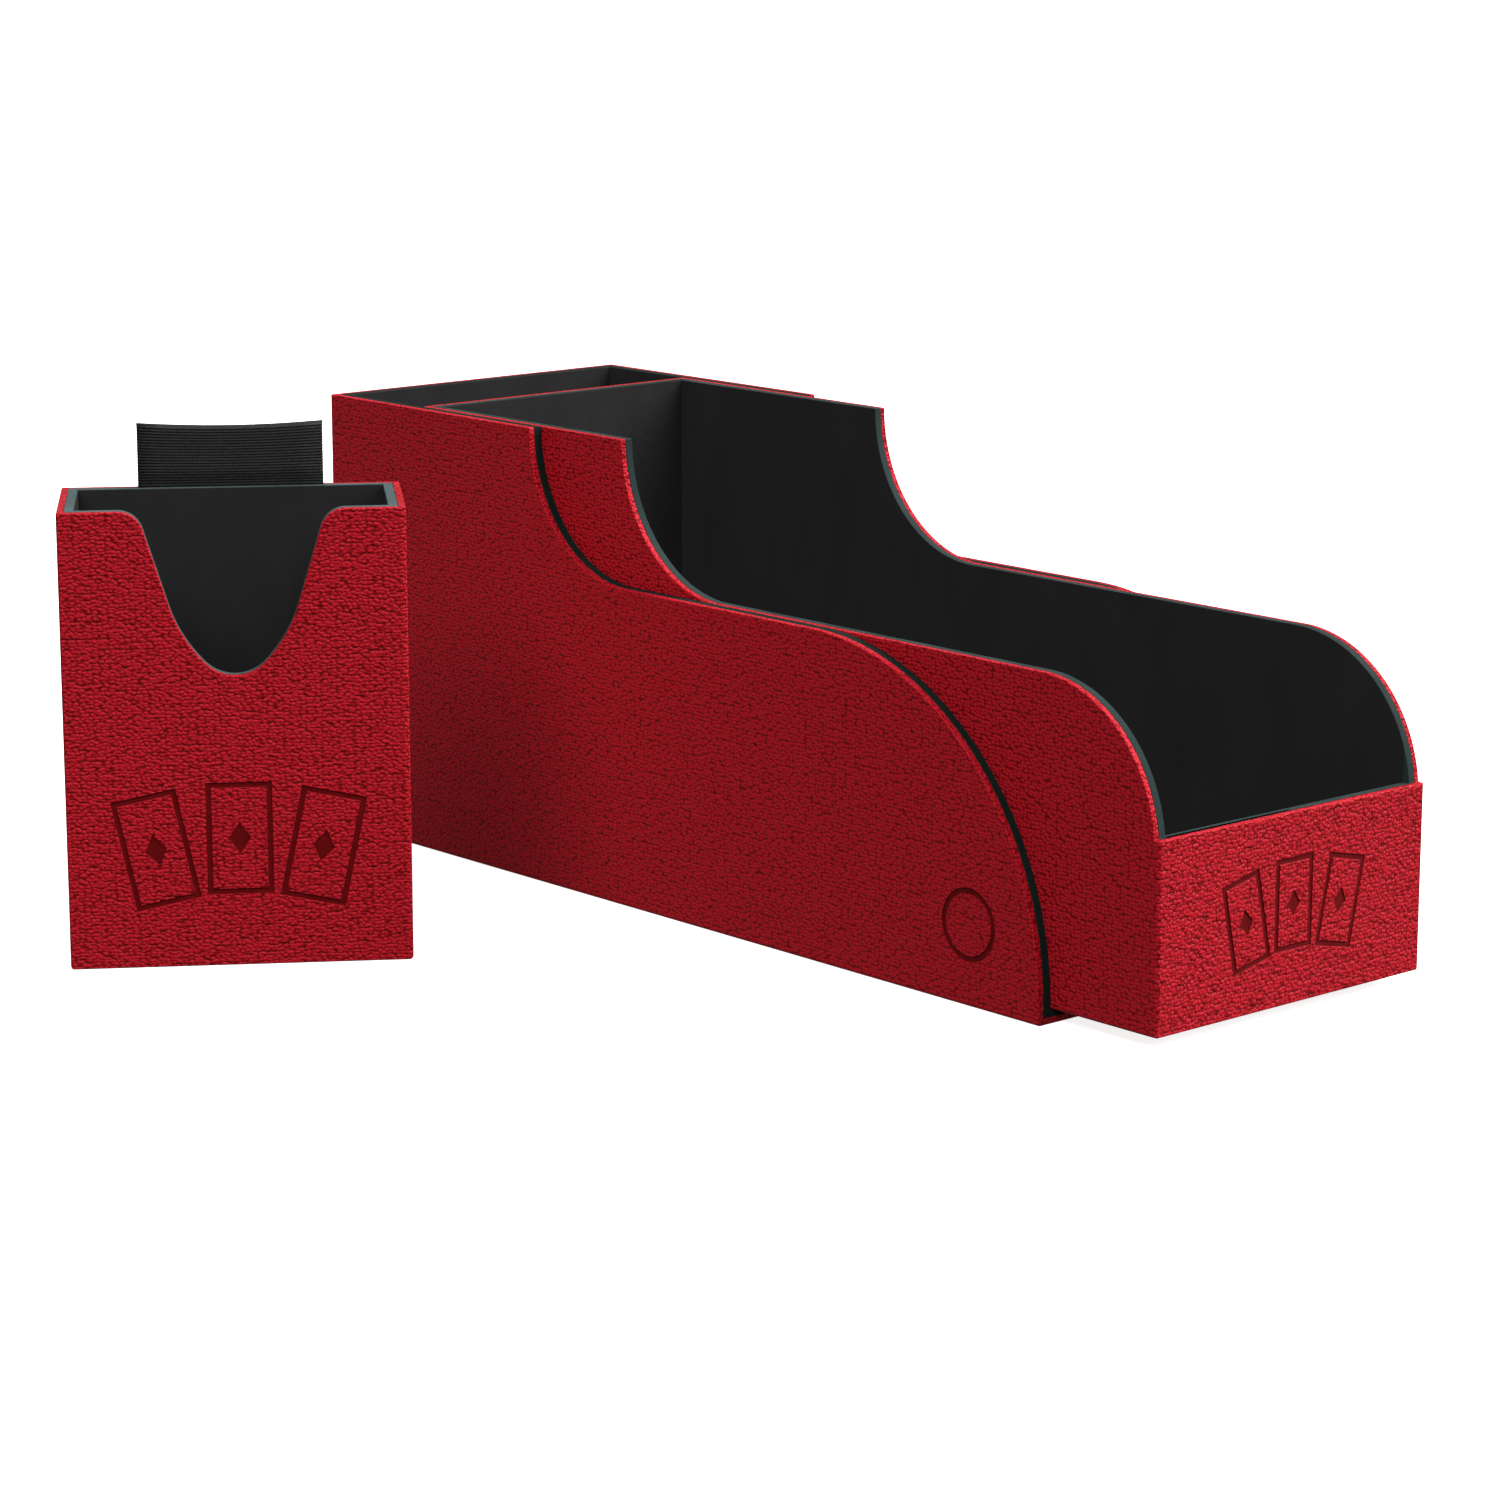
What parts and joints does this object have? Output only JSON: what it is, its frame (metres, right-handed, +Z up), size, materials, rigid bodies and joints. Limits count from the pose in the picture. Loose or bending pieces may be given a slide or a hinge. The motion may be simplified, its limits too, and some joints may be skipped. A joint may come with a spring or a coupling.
{
  "type": "card deck box",
  "caption": "Long open card box with a low stepped front and a rear well, and a loose card tray with a thumb notch and a pull ribbon standing beside it.",
  "frame": {"origin": "middle of the long box's underside, on the surface it stands on", "axes": "+Z up, +Y from the low open front towards the tall back of the long box, +X to its right"},
  "size_m": [0.2168, 0.2778, 0.1158],
  "materials": {
    "red_leather": "pebbled matt leather",
    "grey_board": "raw pressed fibreboard",
    "dark_microfibre": "short-napped lining",
    "black_ribbon": "ribbed woven tape",
    "magnet": "plated disc"
  },
  "bodies": {
    "long_box": {"jacket_left_leather": "red_leather", "jacket_left_board": "grey_board", "jacket_left_lining": "dark_microfibre", "jacket_right_leather": "red_leather", "jacket_right_board": "grey_board", "jacket_right_lining": "dark_microfibre", "jacket_back_leather": "red_leather", "jacket_back_board": "grey_board", "jacket_back_lining": "dark_microfibre", "jacket_floor_leather": "red_leather", "jacket_floor_board": "grey_board", "jacket_floor_lining": "dark_microfibre", "inner_left_leather": "red_leather", "inner_left_board": "grey_board", "inner_left_lining": "dark_microfibre", "inner_right_leather": "red_leather", "inner_right_board": "grey_board", "inner_right_lining": "dark_microfibre", "inner_front_leather": "red_leather", "inner_front_board": "grey_board", "inner_front_lining": "dark_microfibre", "inner_back_leather": "red_leather", "inner_back_board": "grey_board", "inner_back_lining": "dark_microfibre", "inner_floor_leather": "red_leather", "inner_floor_board": "grey_board", "inner_floor_lining": "dark_microfibre", "closure_magnets": "magnet"},
    "card_tray": {"tray_front_leather": "red_leather", "tray_front_board": "grey_board", "tray_front_lining": "dark_microfibre", "tray_back_leather": "red_leather", "tray_back_board": "grey_board", "tray_back_lining": "dark_microfibre", "tray_left_leather": "red_leather", "tray_left_board": "grey_board", "tray_left_lining": "dark_microfibre", "tray_right_leather": "red_leather", "tray_right_board": "grey_board", "tray_right_lining": "dark_microfibre", "tray_floor_leather": "red_leather", "tray_floor_board": "grey_board", "tray_floor_lining": "dark_microfibre", "pull_ribbon": "black_ribbon"}
  },
  "joints": [
    {"name": "tray_lift", "type": "slide", "parent": "long_box", "child": "card_tray", "axis": [0, 0, 1], "range_m": [0, 0.12]}
  ]
}
